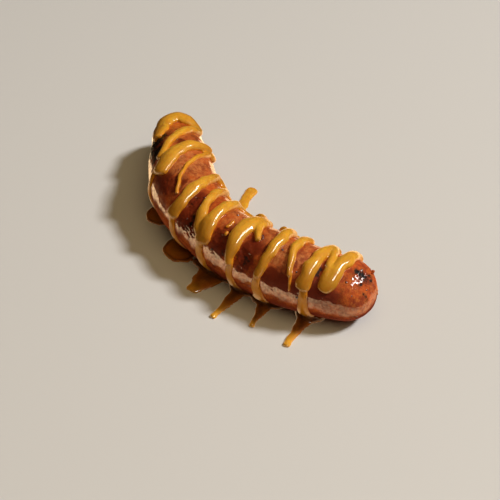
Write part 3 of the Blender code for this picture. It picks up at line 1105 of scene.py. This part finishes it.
def casing_material():
    """Oily casing: orange brown where it is pale, dark red where it browned or holds painted shade,
    black where it burnt, tan partly as painted sheen.
    """
    material, tree, shader = new_material("grilled casing")
    nodes = Nodes(tree)
    patches = nodes.noise(150.0, 4.0, 0.6)
    mottle = nodes.noise(520.0, 3.0, 0.65)
    grain = nodes.noise(1900.0, 2.0, 0.6)
    streaks = nodes.noise(1000.0, 3.0, 0.65, nodes.unbent((1.7, 0.6, 0.6)))
    colour = nodes.mix(nodes.steps(patches, 0.38, 0.62), BROWNED, PALE_CASING)
    colour = nodes.mix(nodes.steps(mottle, 0.42, 0.7, 0.0, 0.7), colour, ORANGE_CASING)
    # Painted sheen, partly real pale tan: tan patches on the lit top.
    tan = nodes.maths("MULTIPLY", nodes.painted("tan"), nodes.steps(mottle, 0.36, 0.6, 0.35, 1.0))
    colour = nodes.mix(nodes.maths("MULTIPLY", tan, 0.6), colour, TAN_AND_SHEEN_CASING)
    colour = nodes.mix(nodes.steps(grain, 0.52, 0.68, 0.0, 0.5), colour, BROWNED)
    colour = nodes.mix(nodes.steps(streaks, 0.5, 0.3, 0.0, 0.55), colour, BROWNED)
    uneven = nodes.maths("SUBTRACT", mottle, 0.5)
    # The deep mask: grill browning, with painted shade on the underside and in the dimples.
    deep = nodes.steps(nodes.maths("ADD", nodes.painted("deep"), uneven), 0.15, 0.62)
    colour = nodes.mix(nodes.maths("MULTIPLY", deep, 0.94), colour, DEEP_CASING)
    uneven = nodes.maths("MULTIPLY", nodes.maths("SUBTRACT", mottle, 0.52), 1.6)
    char = nodes.steps(nodes.maths("ADD", nodes.painted("char"), uneven), 0.28, 0.75)
    colour = nodes.mix(char, colour, CHARRED)
    nodes.join(colour, shader.inputs["Base Color"])
    oiled = nodes.steps(nodes.painted("oil"), 0.0, 1.0)
    polish = nodes.maths("MULTIPLY", oiled, OIL_POLISH)
    nodes.join(nodes.maths("SUBTRACT", DRY_ROUGHNESS, polish), shader.inputs["Roughness"])
    relief = nodes.maths("MULTIPLY", streaks, 0.5)
    relief = nodes.maths("MULTIPLY_ADD", mottle, 0.6, relief)
    relief = nodes.maths("MULTIPLY_ADD", grain, 0.2, relief)
    nodes.join(nodes.bump(relief, 0.00022, 1.0), shader.inputs["Normal"])
    film = nodes.maths("MULTIPLY", nodes.steps(streaks, 0.4, 0.6, 0.4, 1.0), oiled)
    unburnt = nodes.maths("MULTIPLY_ADD", char, -0.8, 1.0)
    nodes.join(nodes.maths("MULTIPLY", film, unburnt), shader.inputs["Coat Weight"])
    set_inputs(shader, {"Specular IOR Level": 0.08, "Coat Roughness": 0.07, "Coat IOR": 2.1})
    return material


def mustard_material():
    """Glossy mustard, opaque yellow where it is thick and clear amber where it is thin, with painted
    shade down the sides and under and near the sausage.
    """
    material, tree, shader = new_material("mustard")
    nodes = Nodes(tree)
    thickness = nodes.painted("thickness")
    patches = nodes.noise(330.0, 3.0, 0.5)
    grain = nodes.noise(3200.0, 2.0, 0.5)
    spread = nodes.painted("spread")
    low = nodes.painted("round")
    # Painted shade: darker mustard down the sides, away from the top.
    colour = nodes.mix(nodes.steps(low, 10.0, 55.0, 0.0, 0.8), YELLOW_MUSTARD, SHADED_SIDE_MUSTARD)
    colour = nodes.mix(nodes.steps(low, 62.0, 86.0, 0.0, 0.75), colour, RUN_MUSTARD)
    colour = nodes.mix(nodes.steps(thickness, 0.3, 1.5), AMBER_MUSTARD, colour)
    foot = nodes.mix(nodes.steps(thickness, 0.7, 1.3), THIN_SHADED_FOOT, BROWN_SHADED_FOOT)
    # Painted shade: mustard under the sausage and on the surface close to it takes the dark foot
    # colours, yellow again far out.
    colour = nodes.mix(nodes.steps(low, 110.0, 133.0), colour, foot)
    colour = nodes.mix(nodes.steps(spread, 0.8, 3.0), colour, foot)
    colour = nodes.mix(nodes.steps(spread, 7.0, 15.0), colour, YELLOW_MUSTARD)
    colour = nodes.mix(nodes.steps(patches, 0.4, 0.7, 0.0, 0.35), colour, DEEP_MUSTARD)
    colour = nodes.mix(nodes.steps(grain, 0.62, 0.75, 0.0, 0.35), colour, DEEP_MUSTARD)
    nodes.join(colour, shader.inputs["Base Color"])
    dulled = nodes.maths("SUBTRACT", nodes.steps(low, 72.0, 92.0), nodes.steps(low, 95.0, 108.0))
    dulled = nodes.maths("SUBTRACT", dulled, nodes.steps(spread, 1.5, 4.0), clamp=True)
    wet = nodes.maths("MULTIPLY_ADD", dulled, RUN_DULLING, WET_COAT)
    nodes.join(wet, shader.inputs["Coat Weight"])
    set_inputs(shader, {"Coat Roughness": 0.09, "Roughness": 0.35, "Specular IOR Level": 0.06})
    set_inputs(shader, {"Subsurface Weight": 0.2, "Subsurface Radius": (1.0, 0.45, 0.08),
                        "Subsurface Scale": 0.0012})
    ripples = nodes.maths("MULTIPLY_ADD", nodes.noise(1300.0, 2.0, 0.5), 0.3, patches)
    nodes.join(nodes.bump(ripples, 0.0005, 0.45), shader.inputs["Normal"])
    return material


def fleck_material():
    """Burnt pepper: black brown, a little lighter here and there, with an oily glint."""
    material, tree, shader = new_material("burnt fleck")
    nodes = Nodes(tree)
    colour = nodes.mix(nodes.steps(nodes.noise(900.0), 0.45, 0.7), CHARRED, BROWNED)
    nodes.join(colour, shader.inputs["Base Color"])
    set_inputs(shader, {"Roughness": 0.4, "Coat Weight": 0.5, "Coat Roughness": 0.15})
    return material


def floor_material():
    """A plain pale floor; gloss shows a painted reflection of it: a warm pool with a glowing rim,
    dark beyond, as in a dark room.
    """
    material, tree, shader = new_material("pale floor")
    nodes = Nodes(tree)
    away = tree.nodes.new("ShaderNodeVectorMath")
    away.operation = "DISTANCE"
    tree.links.new(nodes.place, away.inputs[0])
    away.inputs[1].default_value = POOL_CENTRE
    distance = away.outputs["Value"]
    beyond = nodes.steps(distance, POOL_RADIUS, POOL_RADIUS + POOL_EDGE)
    in_gloss = tree.nodes.new("ShaderNodeLightPath").outputs["Is Glossy Ray"]
    # Painted reflection: gloss sees a brighter warm pool on the floor, dark beyond it.
    seen_in_gloss = nodes.mix(beyond, REFLECTED_WARM_POOL, REFLECTED_DARK_ROOM)
    nodes.join(nodes.mix(in_gloss, PALE_FLOOR, seen_in_gloss), shader.inputs["Base Color"])
    # Painted reflection: the pool's rim glows for gloss only, though the floor is no lamp.
    rim = nodes.maths("SUBTRACT", nodes.steps(distance, 0.0, POOL_RADIUS), beyond, clamp=True)
    painted_glow = nodes.mix(nodes.maths("MULTIPLY", rim, in_gloss), (0, 0, 0, 1), PAINTED_REFLECTION_GLOW)
    nodes.join(painted_glow, shader.inputs["Emission Color"])
    set_inputs(shader, {"Emission Strength": PAINTED_GLOW_STRENGTH, "Roughness": 0.5, "Specular IOR Level": 0.2})
    return material


def put_on(piece, material):
    piece.data.materials.clear()
    piece.data.materials.append(material)


def set_stage():
    """A plain pale floor, showing a painted reflection in gloss, in a faint warm room, with a key
    light from the right.

    The warm fill from above isn't seen in gloss, and the window's strip is seen in gloss only.
    """
    deselect_all()
    bpy.ops.mesh.primitive_plane_add(size=FLOOR_SIZE, location=(0, 0, -FLOOR_DROP))
    floor = bpy.context.object
    floor.name = "floor"
    apply_place(floor)
    put_on(floor, floor_material())
    world = bpy.data.worlds.new("room")
    bpy.context.scene.world = world
    world.use_nodes = True
    background = world.node_tree.nodes["Background"]
    background.inputs["Color"].default_value = ROOM_COLOUR
    background.inputs["Strength"].default_value = ROOM_STRENGTH
    add_light(KEY)
    fill = add_light(FILL)
    fill.visible_glossy = False
    window = add_light(WINDOW)
    window.data.shape = "RECTANGLE"
    window.data.size_y = WINDOW_HEIGHT
    window.visible_diffuse = False
    bpy.context.scene.view_settings.view_transform = "Standard"


def add_light(lamp):
    """A round lamp, placed as seen from the camera and turned to the sausage."""
    azimuth = math.radians(CAMERA_AZIMUTH)
    right = Vector((math.cos(azimuth), math.sin(azimuth), 0))
    away = Vector((-math.sin(azimuth), math.cos(azimuth), 0))
    place = right * lamp.right + away * lamp.away + Vector((0, 0, lamp.up))
    deselect_all()
    bpy.ops.object.light_add(type="AREA", location=place)
    light = bpy.context.object
    light.name = lamp.name
    light.data.shape = "DISK"
    light.data.size = lamp.size
    light.data.energy = lamp.power
    light.data.color = lamp.colour
    light.rotation_euler = (Vector(LOOK_AT) - place).to_track_quat("-Z", "Y").to_euler()
    return light


def add_camera():
    azimuth = math.radians(CAMERA_AZIMUTH)
    elevation = math.radians(CAMERA_ELEVATION)
    back = Vector((math.sin(azimuth), -math.cos(azimuth), 0)) * math.cos(elevation)
    back.z = math.sin(elevation)
    bpy.ops.object.camera_add(location=Vector(LOOK_AT) + back * CAMERA_DISTANCE)
    camera = bpy.context.object
    camera.rotation_euler = (-back).to_track_quat("-Z", "Y").to_euler()
    camera.data.sensor_width = SENSOR_WIDTH
    camera.data.lens = camera.data.sensor_width / 2 / math.tan(math.radians(FIELD_OF_VIEW) / 2)
    bpy.context.scene.camera = camera


def main():
    add_camera()
    casing = model_casing()
    model_skin_relief(casing)
    put_on(casing, casing_material())
    mustard = model_mustard()
    put_on(mustard, mustard_material())
    knots = model_knots()
    put_on(knots, casing.data.materials[0])
    flecks = model_flecks()
    put_on(flecks, fleck_material())
    slots = ((casing, "casing"), (mustard, "mustard"), (knots, "casing"), (flecks, "casing"))
    for piece, slot in slots:
        piece.data.shade_smooth()
        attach(piece, "root")
        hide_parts("sausage")
    set_stage()


main()
